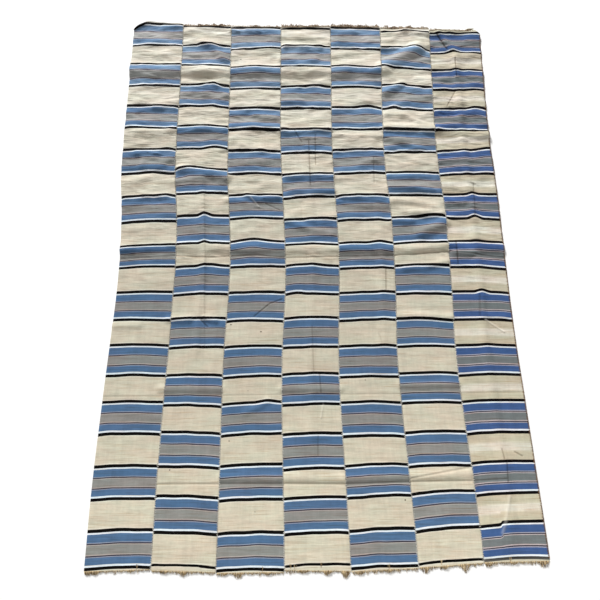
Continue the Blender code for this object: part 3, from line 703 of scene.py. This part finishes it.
def makeStripedCotton(name, lot):
    material, tree, shader = newMaterial(name, finish["roughness"], finish["specular"])
    threads = addNode(tree, "ShaderNodeUVMap", uv_map="threads").outputs[0]
    block, paintedCreaseShading = [addNode(tree, "ShaderNodeAttribute", attribute_name=kind).outputs["Fac"]
                    for kind in ("block", "paintedCreaseShading")]
    place = placeGroup(tree, stripeCoordinate, {"Block": block, "Threads": threads})
    ramp = addNode(tree, "ShaderNodeValToRGB", {0: place.outputs["Place"]})
    fillRamp(ramp.color_ramp, lot)
    striped = mixColour(tree, place.outputs["Line"], ramp.outputs[0], yarnColour(lot, "black"))
    tone = placeGroup(tree, yarnTone, {
        "Color": striped, "Threads": threads, "Painted Crease Shading": paintedCreaseShading, "Slubs": finish["slubs"],
        "Head Paling": finish["headPaling"][lot]})
    weave = placeGroup(tree, plainWeave, {"Threads": threads})
    creased = placeGroup(tree, wrinkles, {"Threads": threads})
    height = calc(tree, "ADD", times(tree, weave.outputs[0], finish["weaveDepth"]),
                  creased.outputs[0])
    bump = addNode(tree, "ShaderNodeBump", {"Height": height, "Strength": 1.0, "Distance": 1.0})
    tree.links.new(tone.outputs[0], shader.inputs["Base Color"])
    tree.links.new(bump.outputs[0], shader.inputs["Normal"])
    for socket, value in finish["sheen"].items():
        shader.inputs[socket].default_value = value
    return material


def makeYarn(name, light, dark, scale):
    # plain yarn whose tone changes from strand to strand; on the fringes the dark tone is partly
    # painted shadow between the strands
    material, tree, shader = newMaterial(name, finish["yarnRoughness"], finish["yarnSpecular"])
    where = addNode(tree, "ShaderNodeTexCoord").outputs["Object"]
    strandToneAndShade = mapRange(tree, streaks(tree, where, scale, scale / 8), 0.35, 0.65)
    fibres = streaks(tree, where, *finish["fibres"])
    bump = addNode(tree, "ShaderNodeBump", {"Height": fibres, "Strength": 0.5,
                                            "Distance": finish["fibreDepth"]})
    tree.links.new(mixColour(tree, strandToneAndShade, srgb(*dark), srgb(*light)),
                   shader.inputs["Base Color"])
    tree.links.new(bump.outputs[0], shader.inputs["Normal"])
    return material


stripedCotton = {
    "usual": makeStripedCotton("wovenCotton", "usual"),
    "darkLot": makeStripedCotton("darkWovenCotton", "darkLot"),
}
# fringe yarn: golden and brown strands, the dark tone partly painted shadow between the strands
warpYarn = {
    "foot": makeYarn("rawWarpCotton", (222, 200, 160), (112, 88, 58), 420.0),
    # the head fringe's yarn is darker
    "head": makeYarn("darkerHeadWarpCotton", (170, 149, 124), (94, 77, 60), 420.0),
}
sewingThread = makeYarn("sewingThread", (232, 229, 218), (190, 186, 176), 60.0)
overcastThread = makeYarn("overcastThread", (150, 112, 80), (92, 66, 48), 300.0)
huskMaterial = makeYarn("seedHusk", (92, 78, 64), (54, 46, 40), 900.0)

print("blanket: woven strips")

weaving = {
    "cell": 0.005,             # cloth mesh away from the creases
    "sideColumns": (0.0012, 0.0032),
    "sideDrop": 0.0007,        # the selvedges are drawn down by the sewing
    "sideDropWidth": 0.0040,
    "facesApart": 0.001,       # until the cloth gets its shape
    "deepest": 0.0009,         # a crease presses the face down by this much at most
    "bow": 0.0028,             # the picks arch towards the head in the middle of a strip
    "bowLevel": 0.6,
    "wander": 0.0016,          # and wander by this much
    "wanderAcross": 22.0,
    "wanderAlong": 9.0,
    "setOverWidth": 0.004,
    "setOverFade": 0.025,
    "tugSpan": 2.2,            # a tug is felt this many times its reach away
    "tugFlatness": 0.8,
    "startLine": 0.0026,       # lower half of the first black line
    "endLine": 0.0052,         # upper half of the last black line
    "fineReach": (0.0090, 0.0045),      # cells this near a crease are halved, twice
}

# each strip's stripes: along of its first black line, length of a blue and of a cream block,
# then where the weaving runs ahead (block, mm), and how far a line climbs from the strip's
# left to its right side (block, mm)
repeats = [
    {"first": 0.010, "blue": 0.0815, "cream": 0.0742,
     "ahead": [(0, 1), (1, 5), (3, 0), (4, 5), (5, 7), (6, 1), (7, 4), (8, -1), (10, 0),
               (11, -15), (13, -12), (15, -9), (20, -7), (21, -4)],
     "climb": [(0, 5), (4, 1), (8, -2), (11, 8), (13, 4), (16, -3), (20, 0), (21, -4)]},
    {"first": 0.013, "blue": 0.0838, "cream": 0.0714,
     "ahead": [(0, 2), (2, 6), (3, 4), (4, 7), (5, 4), (6, 1), (7, 5), (9, 1), (10, 2), (11, 0),
               (12, 7), (13, 7), (16, 0), (20, -5), (21, -3)],
     "climb": [(0, -5), (5, -4), (7, 3), (12, 3), (15, 0), (17, -7), (19, -2), (21, -7)]},
    {"first": 0.006, "blue": 0.0810, "cream": 0.0734,
     "ahead": [(0, 0), (3, 8), (4, 10), (5, 10), (6, 6), (7, 8), (8, 5), (10, 10), (12, 8),
               (14, 0), (17, -3), (20, -4), (21, -2)],
     "climb": [(0, 2), (5, 8), (8, 1), (12, 2), (15, -2), (18, 0), (20, 6), (21, 2)]},
    {"first": 0.017, "blue": 0.0834, "cream": 0.0706,
     "ahead": [(0, 0), (2, 0), (3, -2), (4, 2), (5, 6), (6, 4), (8, 6), (9, 2), (10, 4), (11, -1),
               (13, -3), (14, -8), (16, -8), (17, -2), (21, -2)],
     "climb": [(0, 5), (7, 3), (10, 1), (13, 8), (15, 0), (17, -2), (21, -3)]},
    {"first": 0.010, "blue": 0.0816, "cream": 0.0723,
     "ahead": [(0, 2), (2, 9), (3, 4), (4, 2), (5, 8), (6, 2), (7, 6), (9, 5), (13, 0), (15, 2),
               (17, -2), (18, 0), (19, -5), (20, -5), (21, -3)],
     "climb": [(0, 6), (2, 8), (4, 0), (9, 4), (12, 0), (14, 6), (17, -4), (21, -5)]},
    {"first": 0.023, "blue": 0.0822, "cream": 0.0703,
     "ahead": [(0, 1), (1, 4), (2, 9), (3, 0), (4, 3), (5, 7), (6, 4), (7, 6), (8, 1), (9, 3),
               (10, 7), (13, 6), (14, 2), (16, -5), (18, 5), (21, -7)],
     "climb": [(0, 11), (1, 12), (3, 4), (7, 0), (8, -6), (11, 6), (13, -4), (15, 0), (17, -8),
               (20, -12), (21, -4)]},
    {"first": 0.027, "blue": 0.0808, "cream": 0.0693,
     "ahead": [(0, 2), (2, 2), (3, -2), (5, 3), (6, 1), (9, 4), (12, 10), (13, 10), (14, 6),
               (15, 8), (18, 5), (21, -4)],
     "climb": [(0, 4), (1, 8), (5, 4), (8, -2), (10, -7), (14, 4), (17, -2), (21, 0)]},
]
# (block, mm) by which all the lines lie nearer the foot
settling = [(0, 2), (10, 2), (11, 4), (21, 4)]
# places where the folds tug a line towards the head: x, along, mm, reach
tugs = [
    (-0.306, 0.951, 6, 0.012), (-0.303, 0.860, 5, 0.010), (-0.285, 0.790, 4, 0.020),
    (-0.470, 1.093, 3, 0.030), (-0.359, 1.110, 8, 0.032), (-0.422, 1.019, 4, 0.020),
    (-0.168, 0.870, 7, 0.035), (0.360, 0.945, 6, 0.030), (0.200, 0.866, 4, 0.020),
    (0.478, 0.944, 7, 0.012), (0.478, 1.015, 5, 0.010), (0.475, 0.713, 6, 0.012),
    (-0.020, 0.795, 5, 0.040), (-0.045, 0.710, 4, 0.020), (-0.115, 0.417, 4, 0.018),
    (-0.325, 1.562, 5, 0.030), (-0.312, 1.405, 5, 0.020), (-0.310, 1.325, 4, 0.020),
    (-0.285, 1.175, 6, 0.025), (0.018, 1.402, 4, 0.018), (0.325, 1.555, 7, 0.040),
    (0.300, 1.405, 4, 0.030), (0.262, 1.322, 6, 0.015), (0.185, 1.325, 7, 0.025),
    (0.460, 1.535, 5, 0.012), (0.520, 1.390, 6, 0.030), (0.520, 1.320, 6, 0.025),
    (0.545, 1.170, 9, 0.030), (-0.432, 1.176, 4, 0.020),
]
blocksPerStrip = 21

# where a pinched fold sets the stripes over: strip, x, along from, along to, mm to its right
setOvers = [(7, 0.462, 0.075, 0.130, 5.0)]


def readTable(table, block):
    # value of a short (block, mm) table, in metres
    places = [row[0] for row in table]
    return np.interp(block, places, [row[1] for row in table]) / 1000


def blackLines(number):
    # along of a strip's black lines at its middle
    repeat = repeats[number - 1]
    lengths = [repeat["blue"], repeat["cream"]]
    if number % 2 == 0:
        lengths.reverse()
    place = repeat["first"]
    lines = [place]
    for block in range(blocksPerStrip):
        place += lengths[block % 2]
        lines.append(place)
    count = np.arange(blocksPerStrip + 1)
    return np.array(lines) + readTable(repeat["ahead"], count) - readTable(settling, count)


def blockNumber(number, x, share, along):
    # how many blocks lie below a point. Blue blocks start at even numbers in every strip.
    lines = blackLines(number)
    repeat = repeats[number - 1]
    count = np.arange(blocksPerStrip + 1.0)
    climb = readTable(repeat["climb"], np.interp(along, lines, count)) * (share - 0.5)
    arch = weaving["bow"] * (weaving["bowLevel"] - (2 * share - 1) ** 2)
    wander = noiseAt(x * weaving["wanderAcross"], along * weaving["wanderAlong"], number * 3.0)
    level = along - climb - arch - weaving["wander"] * wander
    for strip, place, start, end, amount in setOvers:
        if strip == number:
            beside = np.clip((x - place) / weaving["setOverWidth"] + 0.5, 0.0, 1.0) - 0.5
            fade = runOut(along, start, end, weaving["setOverFade"])
            level = level - 0.001 * amount * beside * fade
    for tugX, tugAlong, amount, reach in tugs:
        distance = np.hypot(x - tugX, (along - tugAlong) * weaving["tugFlatness"])
        level = level - 0.001 * amount * hump(distance, weaving["tugSpan"] * reach)
    # beyond its first and last line every strip is cream, so the numbers of an even strip,
    # which starts and ends with a cream block, turn back there
    foot, head, last = blackLine["foot"], blackLine["head"], count[-1]
    if number % 2:
        numbers = [-1.0, -foot, *count, last + head, last + 1.0]
    else:
        numbers = [2.0, 1.0 + foot, *(count + 1), last + (1 - head), last]
    places = [lines[0] - repeat["cream"], lines[0] - weaving["startLine"], *lines,
              lines[-1] + weaving["endLine"], lines[-1] + repeat["cream"]]
    return np.interp(level, places, numbers)


def sideX(number, along):
    left = lineX(number - 1, along) + blanket["seamGap"] / 2
    right = lineX(number, along) - blanket["seamGap"] / 2
    if number == 1:
        corner = headCorners["turned"]
        start = stripEnds[0]["head"][0] - corner["down"]
        left = left + corner["inward"] * np.maximum(along - start, 0.0) / corner["down"]
    if number == stripCount:
        corner = headCorners["drawn"]
        start = stripEnds[-1]["head"][1] - corner["down"]
        right = right - corner["inward"] * np.maximum(along - start, 0.0) / corner["down"]
    return left, right


def stripWidth(number):
    row = blanket["widthAt"]
    return float(lineX(number, row) - lineX(number - 1, row))


def edgeAt(number, end, share):
    # along of a strip's foot or head edge
    left, right = stripEnds[number - 1][end]
    return left + (right - left) * share


def steps(start, end, widest):
    count = math.ceil((end - start) / widest)
    return [start + (end - start) * i / count for i in range(count + 1)]


def clothTop(x, along, share, width):
    # height of the underside and of the face of the cloth, and the painted shading of its creases
    relief, paintedCreaseShading = creaseRelief(x, along)
    lift = softLift(x, along) + undulate(x, along)
    fromSide = np.minimum(share, 1 - share) * width
    drop = weaving["sideDrop"] * hump(fromSide, weaving["sideDropWidth"])
    under = np.maximum(lift + relief, 0.0)
    face = np.maximum(lift + relief, -weaving["deepest"]) + blanket["thickness"] - drop
    return under, face, paintedCreaseShading


def layGrid(number):
    # a flat net over the strip, with narrow columns along its selvedges
    width = stripWidth(number)
    side = [place / width for place in weaving["sideColumns"]]
    middle = steps(side[-1], 1 - side[-1], weaving["cell"] / width)
    columns = [0.0] + side[:-1] + middle + [1 - place for place in reversed(side[:-1])] + [1.0]
    across = len(columns) - 1
    rows = math.ceil(blanket["length"] / weaving["cell"])
    bm = bmesh.new()
    bmesh.ops.create_grid(bm, x_segments=across, y_segments=rows, size=0.5)
    for vert in bm.verts:
        share = columns[round((vert.co.x + 0.5) * across)]
        foot, head = edgeAt(number, "foot", share), edgeAt(number, "head", share)
        along = foot + (head - foot) * (vert.co.y + 0.5)
        left, right = sideX(number, along)
        vert.co = (float(left + (right - left) * share), along - originAlong, 0.0)
    return bm


def refineCreases(bm):
    for reach in weaving["fineReach"]:
        centres = np.array([face.calc_center_median() for face in bm.faces])
        x, along = centres[:, 0], centres[:, 1] + originAlong
        near = np.min([besidePath(x, along, crease[-1])[0] for crease in creases], axis=0)
        edges = {edge for face, gap in zip(bm.faces, near) if gap < reach for edge in face.edges}
        bmesh.ops.subdivide_edges(bm, edges=list(edges), cuts=1, use_grid_fill=True)


def clothOf(number):
    # cotton and slot of a strip's cloth: the last strip is of a darker dye lot
    if number == stripCount:
        return stripedCotton["darkLot"], "dark_woven_cotton"
    return stripedCotton["usual"], "woven_cotton"


def makeStrip(number):
    bm = layGrid(number)
    refineCreases(bm)
    bmesh.ops.recalc_face_normals(bm, faces=bm.faces)
    raised = bmesh.ops.extrude_face_region(bm, geom=bm.faces[:])["geom"]
    upper = [item for item in raised if isinstance(item, bmesh.types.BMVert)]
    bmesh.ops.translate(bm, verts=upper, vec=(0.0, 0.0, weaving["facesApart"]))
    bmesh.ops.recalc_face_normals(bm, faces=bm.faces)

    points = np.array([vert.co for vert in bm.verts])
    x, along = points[:, 0], points[:, 1] + originAlong
    onTop = points[:, 2] > weaving["facesApart"] / 2
    left, right = sideX(number, along)
    share = np.clip((x - left) / (right - left), 0.0, 1.0)
    under, face, paintedCreaseShading = clothTop(x, along, share, right - left)
    points[:, 2] = np.where(onTop, face, under)
    cotton, slot = clothOf(number)
    mesh = meshFrom(bm, f"strip{number}", cotton)
    mesh.vertices.foreach_set("co", points.ravel())
    for name, values in (("block", blockNumber(number, x, share, along)), ("paintedCreaseShading", paintedCreaseShading)):
        mesh.attributes.new(name, "FLOAT", "POINT").data.foreach_set("value", values)
    threads = mesh.uv_layers.new(name="threads")
    corners = np.zeros(len(mesh.loops), int)
    mesh.loops.foreach_get("vertex_index", corners)
    flat = np.column_stack((share * stripWidth(number) + number, along))
    threads.data.foreach_set("uv", flat[corners].ravel())
    smoothen(mesh)
    return addPiece(f"strip{number}", mesh, f"strip_{number}")


strips = [makeStrip(number) for number in range(1, stripCount + 1)]
print("blanket: strips have", sum(len(piece.data.polygons) for piece in strips), "faces")


def heightAt(x, along):
    # face of the cloth at single points
    x, along = np.atleast_1d(x), np.atleast_1d(along)
    return softLift(x, along) + undulate(x, along) + blanket["thickness"]


def threadsToPiece(name, lines, depth, material, roundness=1, solid=None):
    # many separate threads, each a list of (point, share of the full thickness)
    curve = bpy.data.curves.new(name, "CURVE")
    curve.dimensions = "3D"
    curve.bevel_depth = depth
    curve.bevel_resolution = roundness
    curve.use_fill_caps = True
    for line in lines:
        spline = curve.splines.new("POLY")
        spline.points.add(len(line) - 1)
        for point, (place, thickness) in zip(spline.points, line):
            point.co = (*place, 1.0)
            point.radius = thickness
    holder = addObject(name, curve)
    mesh = bpy.data.meshes.new_from_object(holder)
    bpy.data.objects.remove(holder)
    bpy.data.curves.remove(curve)
    mesh.name = name
    mesh.materials.clear()
    mesh.materials.append(material)
    mesh.shade_smooth()
    return addPiece(name, mesh, solid)


print("blanket: seams")

seams = {
    "pitch": 0.0038,
    "clear": 0.003,            # the sewing stops this far short of the strips' ends
    "reach": 0.0020,           # a stitch holds this much of each strip
    "slant": 0.0022,
    "threadRadius": 0.00052,
    "uneven": 0.0010,
    "unevenReach": 0.0006,
    # a stitch: share of its reach, height over the cloth, share of the thread's thickness
    "stitch": [(-1.0, 0.0001, 0.9), (-0.45, 0.0006, 1.0), (0.45, 0.0006, 1.0),
               (1.0, 0.0001, 0.9)],
}


def makeSeam(line):
    rng = random.Random(40 + line)
    foot = stripEnds[line - 1]["foot"][1] + seams["clear"]
    head = min(stripEnds[line - 1]["head"][1], stripEnds[line]["head"][0]) - seams["clear"]
    places = np.array(steps(foot, head, seams["pitch"]))
    middle = lineX(line, places)
    heights = heightAt(middle, places) - weaving["sideDrop"]
    stitches = []
    for along, x, z in zip(places, middle, heights):
        y = along + rng.uniform(-1, 1) * seams["uneven"] - originAlong
        reach = seams["reach"] + rng.uniform(-1, 1) * seams["unevenReach"]
        lean = seams["slant"] / 2
        stitches.append([((x + side * reach, y + side * lean, z + height), thickness)
                         for side, height, thickness in seams["stitch"]])
    return threadsToPiece(f"seam{line}", stitches, seams["threadRadius"], sewingThread)


seamPieces = [makeSeam(line) for line in range(1, stripCount)]

print("blanket: fringe")

fringe = {
    "strandsPerStrip": {"foot": 120, "head": 230},
    "strandRadius": 0.00058,
    "length": {"foot": 0.0062, "head": 0.0100},
    "insideCloth": {"foot": 0.0015, "head": 0.0050},
    "headWear": {3: 0.5, 2: 0.75, 7: 0.6},   # shorter and thinner on these strips
    "points": 7,
    "rootHeight": 0.55,        # at the foot the strands leave the cloth at this share of it
    "curl": 0.0024,            # how far a strand swings from side to side
    "curlShare": (0.2, 1.0),
    "turns": (2.5, 6.5),
    "lift": 0.0016,
    "margin": 0.012,           # share of a strip's width without strands, on each side
    "clumps": 26,              # strands of a strip hang together in about this many clumps
    "clumping": 0.6,
    "widestShift": 0.004,
    "tuftHalfWidth": 0.012,
    "tuftStrands": 30,
    "tuftLift": 0.003,
    "nickStrands": 4,
    "nickPoints": 5,
    "nickLength": 0.011,
}
# tufts: strip, share of its width, length
tufts = {
    "foot": [(1, 0.06, 0.009), (1, 0.18, 0.009), (1, 0.70, 0.004), (2, 0.20, 0.006),
             (2, 0.50, 0.012), (3, 0.10, 0.007), (3, 0.32, 0.014), (3, 0.75, 0.006),
             (4, 0.28, 0.007), (4, 0.64, 0.012), (4, 0.92, 0.018), (5, 0.13, 0.010),
             (5, 0.55, 0.007), (6, 0.10, 0.014), (6, 0.40, 0.008), (6, 0.71, 0.019),
             (7, 0.06, 0.011), (7, 0.45, 0.007), (7, 0.90, 0.016)],
    "head": [(2, 0.35, 0.008), (2, 0.62, 0.010), (2, 0.80, 0.010), (3, 0.50, 0.008),
             (4, 0.40, 0.011), (4, 0.70, 0.010), (5, 0.20, 0.009), (5, 0.35, 0.011),
             (5, 0.62, 0.009), (6, 0.30, 0.010), (6, 0.60, 0.012), (7, 0.90, 0.009)],
}
# worn places (x, along) where bare warp ends cross the last black line
nicks = [(-0.424, 0.013), (-0.123, 0.007), (-0.054, 0.013), (-0.044, 0.010), (0.018, 0.016),
         (0.181, 0.013), (0.307, 0.021), (0.474, 0.027)]


def strand(rng, number, end, share, length, tipShift, lift):
    # one raw warp end: out of the cloth's edge, curling, and down onto the floor
    outward = -1 if end == "foot" else 1
    start = edgeAt(number, end, share)
    left, right = sideX(number, min(max(start, 0.0), sections[-1, 0]))
    x = float(left + (right - left) * share)
    phase = rng.uniform(0, 6.3)
    turns = rng.uniform(*fringe["turns"])
    curl = fringe["curl"] * rng.uniform(*fringe["curlShare"])
    inside = fringe["insideCloth"][end]
    root = blanket["thickness"] * fringe["rootHeight"]
    if end == "head":
        root = float(heightAt(x, start - inside)[0])
    line = []
    for i in range(fringe["points"]):
        t = i / (fringe["points"] - 1)
        along = start + outward * (t * (length + inside) - inside)
        along += 0.5 * curl * t * math.cos(phase + turns * t)
        z = root * (1 - t) + lift * math.sin(math.pi * t)
        z = max(z, 0.0) + fringe["strandRadius"] * (1.05 - 0.4 * t)
        side = x + t * t * tipShift + curl * t * math.sin(phase + turns * t)
        line.append(((side, along - originAlong, z), 1.0 - 0.5 * t))
    return line


def nickStrand(rng, x, along):
    # a bare warp end lying on the cloth across its last black line
    line = []
    drift = rng.uniform(-1, 1)
    for i in range(fringe["nickPoints"]):
        t = i / (fringe["nickPoints"] - 1)
        place = along + 0.005 - fringe["nickLength"] * t
        side = x + drift * (0.0035 - 0.002 * t) + rng.uniform(-1, 1) * 0.0006
        z = float(heightAt(side, place)[0]) + fringe["strandRadius"] * 0.3
        line.append(((side, place - originAlong, z), 0.6 - 0.2 * t))
    return line


def makeFringe(number, end):
    rng = random.Random(number * 10 + (0 if end == "foot" else 5))
    wear = fringe["headWear"].get(number, 1.0) if end == "head" else 1.0
    usual = fringe["length"][end] * wear
    strandCount = int(fringe["strandsPerStrip"][end] * wear)
    width = stripWidth(number)
    margin = fringe["margin"]
    centres = [rng.random() for clump in range(fringe["clumps"])]
    reaches = [0.4 + 0.95 * rng.random() ** 1.6 for clump in range(fringe["clumps"])]
    lines = []
    for index in range(strandCount):
        share = (index + rng.uniform(0.1, 0.9)) / strandCount
        share = margin + share * (1 - 2 * margin)
        if number == stripCount and end == "head":
            share *= 1 - headCorners["drawn"]["inward"] / width
        clump = min(range(fringe["clumps"]), key=lambda place: abs(centres[place] - share))
        shift = (centres[clump] - share) * width * fringe["clumping"] * rng.uniform(0.4, 1.2)
        shift = max(min(shift, fringe["widestShift"]), -fringe["widestShift"])
        length = usual * reaches[clump] * rng.uniform(0.5, 1.1)
        lift = rng.uniform(0, fringe["lift"])
        lines.append(strand(rng, number, end, share, length, shift, lift))
    for place, longest in [tuft[1:] for tuft in tufts[end] if tuft[0] == number]:
        for index in range(fringe["tuftStrands"]):
            off = rng.uniform(-1, 1)
            share = place + off * fringe["tuftHalfWidth"] / width
            share = min(max(share, margin), 1 - margin)
            length = longest * (1 - 0.55 * off * off) * rng.uniform(0.6, 1.0)
            shift = -off * fringe["tuftHalfWidth"] * rng.uniform(0.2, 0.7)
            lift = rng.uniform(0, fringe["tuftLift"])
            lines.append(strand(rng, number, end, share, length, shift, lift))
    for x, along in nicks:
        if end == "foot" and lineX(number - 1, 0.0) < x < lineX(number, 0.0):
            lines += [nickStrand(rng, x, along) for index in range(fringe["nickStrands"])]
    return threadsToPiece(f"{end}Fringe{number}", lines, fringe["strandRadius"], warpYarn[end],
                          0, f"{end}_fringe_{number}")


footFringes = {number: makeFringe(number, "foot") for number in range(1, 8)}
headFringes = {number: makeFringe(number, "head") for number in range(2, 8)}

print("blanket: rolled corners and neps")

# a rolled bit of cloth: name, strip, the line (x, along) it lies on, its radius, how far round
# it goes, and the stripe at its start and at its end
rolls = [
    {"name": "turnedCorner", "strip": 1, "from": (-0.569, 1.618), "to": (-0.522, 1.652),
     "radius": 0.0058, "round": 290, "blocks": (1.945, 2.065)},
    {"name": "curledCorner", "strip": 7, "from": (0.508, 1.613), "to": (0.537, 1.624),
     "radius": 0.0032, "round": 200, "blocks": (1.30, 1.36)},
]


rolling = {
    "around": 16,
    "lengthwise": 12,
    "narrowEnds": 0.45,        # share of the radius that the ends of a roll keep at least
    "tightens": 0.35,          # and by this share it tightens towards its inner edge
    "wave": 0.002,
    "thickness": 0.0012,
}


def makeRoll(roll):
    start, end = Vector(roll["from"]), Vector(roll["to"])
    run = (end - start).normalized()
    inward = Vector((run.y, -run.x))
    firstBlock, lastBlock = roll["blocks"]
    bm = bmesh.new()
    bmesh.ops.create_grid(bm, x_segments=rolling["lengthwise"], y_segments=rolling["around"],
                          size=0.5)
    block = bm.verts.layers.float.new("block")
    bm.verts.layers.float.new("paintedCreaseShading")
    threads = bm.loops.layers.uv.new("threads")
    for vert in bm.verts:
        t, turn = vert.co.x + 0.5, vert.co.y + 0.5
        belly = math.sin(math.pi * (0.1 + 0.8 * t))
        radius = roll["radius"] * (rolling["narrowEnds"] + (1 - rolling["narrowEnds"]) * belly)
        radius *= 1 - rolling["tightens"] * turn
        angle = math.radians(-90 + roll["round"] * turn)
        out = radius * math.cos(angle) + rolling["wave"] * math.sin(5 * t)
        place = start.lerp(end, t) - inward * out
        z = radius * (1 + math.sin(angle)) + blanket["thickness"]
        vert.co = (place.x, place.y - originAlong, z)
        vert[block] = firstBlock + (lastBlock - firstBlock) * turn
    for face in bm.faces:
        for loop in face.loops:
            loop[threads].uv = (loop.vert.co.x, loop.vert.co.y + loop.vert.co.z)
    bmesh.ops.solidify(bm, geom=bm.faces[:], thickness=rolling["thickness"])
    bmesh.ops.recalc_face_normals(bm, faces=bm.faces)
    cotton, slot = clothOf(roll["strip"])
    mesh = meshFrom(bm, roll["name"], cotton)
    smoothen(mesh)
    return addPiece(roll["name"], mesh)


rolledCorners = {roll["strip"]: makeRoll(roll) for roll in rolls}

# dark bits of seed husk left in the yarn: x, along
neps = [
    (-0.218, 1.501), (-0.137, 0.597), (-0.219, 0.617), (-0.143, 0.136), (0.229, 0.163),
    (-0.360, 0.236), (0.141, 0.464), (-0.213, 0.307), (-0.168, 0.436),
]
nepShape = {
    "radius": 0.0014,
    "size": (0.7, 1.2),
    "length": (0.9, 1.5),
    "flatness": 0.35,
}


def makeNeps():
    rng = random.Random(5)
    bm = bmesh.new()
    for x, along in neps:
        z = float(heightAt(x, along)[0])
        radius = nepShape["radius"] * rng.uniform(*nepShape["size"])
        made = bmesh.ops.create_icosphere(bm, subdivisions=2, radius=radius)["verts"]
        stretch = (rng.uniform(*nepShape["length"]), 1.0, nepShape["flatness"])
        bmesh.ops.scale(bm, verts=made, vec=stretch)
        bmesh.ops.translate(bm, verts=made, vec=(x, along - originAlong, z))
    mesh = meshFrom(bm, "neps", huskMaterial)
    mesh.shade_smooth()
    addPiece("neps", mesh)


makeNeps()

print("blanket: overcast edge")

overcast = {
    "from": 0.03,
    "to": 1.595,
    "pitch": 0.0030,
    "inward": 0.0034,          # a stitch reaches this far in from the selvedge
    "inwardShare": (0.7, 1.2),
    "uneven": 0.0006,
    "threadRadius": 0.00060,
}


def makeOvercast():
    # stitches that lie over the right selvedge and down its side
    rng = random.Random(77)
    radius = overcast["threadRadius"]
    places = np.array(steps(overcast["from"], overcast["to"], overcast["pitch"]))
    edge = sideX(stripCount, places)[1]
    heights = heightAt(edge, places) - weaving["sideDrop"]
    stitches = []
    for along, x, z in zip(places, edge, heights):
        y = along - originAlong + rng.uniform(-1, 1) * overcast["uneven"]
        inward = overcast["inward"] * rng.uniform(*overcast["inwardShare"])
        stitches.append([
            ((x - inward, y - 0.0008, z + 0.0004), 0.9),
            ((x - inward * 0.4, y - 0.0004, z + 0.0006), 1.0),
            ((x + radius, y, z - 0.0001), 1.0),
            ((x + radius, y + 0.0004, max(z - blanket["thickness"] * 0.8, radius)), 0.9),
        ])
    return threadsToPiece("overcastEdge", stitches, radius, overcastThread)


overcastEdge = makeOvercast()

for number, piece in enumerate(strips, start=1):
    onIt = [kind[number] for kind in (footFringes, headFringes, rolledCorners) if number in kind]
    onIt.append(seamPieces[number - 1] if number < stripCount else overcastEdge)

print("scene: floor, light and camera")

studio = {
    "floorSize": 5.0,
    "floorDrop": 0.0003,
    "floorColour": (0.98, 0.98, 0.98, 1.0),
    "floorRoughness": 0.9,
    "floorSpecular": 0.1,
    "skyStrength": 0.22,
    "cameraPlace": (-0.032, -0.666, 1.57),
    "cameraTilt": 18.89,
    "cameraTurn": -0.13,
    "lens": 36.0,
    "sensor": 36.0,
}
lights = [
    {"name": "keyLight", "place": (-3.6, 11.8, 5.9), "aim": (0.0, 0.0, 0.0), "size": 3.6,
     "power": 3150.0, "colour": (1.0, 1.0, 1.0)},
    {"name": "fillLight", "place": (0.4, -2.4, 2.6), "aim": (0.0, -0.4, 0.0), "size": 2.2,
     "power": 32.0, "colour": (1.0, 0.97, 0.90)},
]


def makeFloor():
    bm = bmesh.new()
    bmesh.ops.create_grid(bm, x_segments=1, y_segments=1, size=studio["floorSize"])
    bmesh.ops.translate(bm, verts=bm.verts, vec=(0.0, 0.0, -studio["floorDrop"]))
    material, tree, shader = newMaterial("paleFloor", studio["floorRoughness"],
                                         studio["floorSpecular"])
    shader.inputs["Base Color"].default_value = studio["floorColour"]
    addObject("floor", meshFrom(bm, "floor", material))


def makeLight(values):
    light = bpy.data.lights.new(values["name"], "AREA")
    light.size = values["size"]
    light.energy = values["power"]
    light.color = values["colour"]
    holder = addObject(values["name"], light)
    holder.location = values["place"]
    aim = Vector(values["aim"]) - Vector(values["place"])
    holder.rotation_euler = aim.to_track_quat("-Z", "Y").to_euler()


def makeCamera():
    camera = bpy.data.cameras.new("camera")
    camera.lens = studio["lens"]
    camera.sensor_width = studio["sensor"]
    holder = addObject("camera", camera)
    holder.location = studio["cameraPlace"]
    holder.rotation_euler = (math.radians(studio["cameraTilt"]), 0.0,
                             math.radians(studio["cameraTurn"]))
    bpy.context.scene.camera = holder


makeFloor()
for values in lights:
    makeLight(values)
makeCamera()
world = bpy.data.worlds.new("studio")
world.use_nodes = True
background = world.node_tree.nodes["Background"]
background.inputs["Color"].default_value = (1.0, 1.0, 1.0, 1.0)
background.inputs["Strength"].default_value = studio["skyStrength"]
bpy.context.scene.world = world
bpy.context.scene.view_settings.view_transform = "Standard"
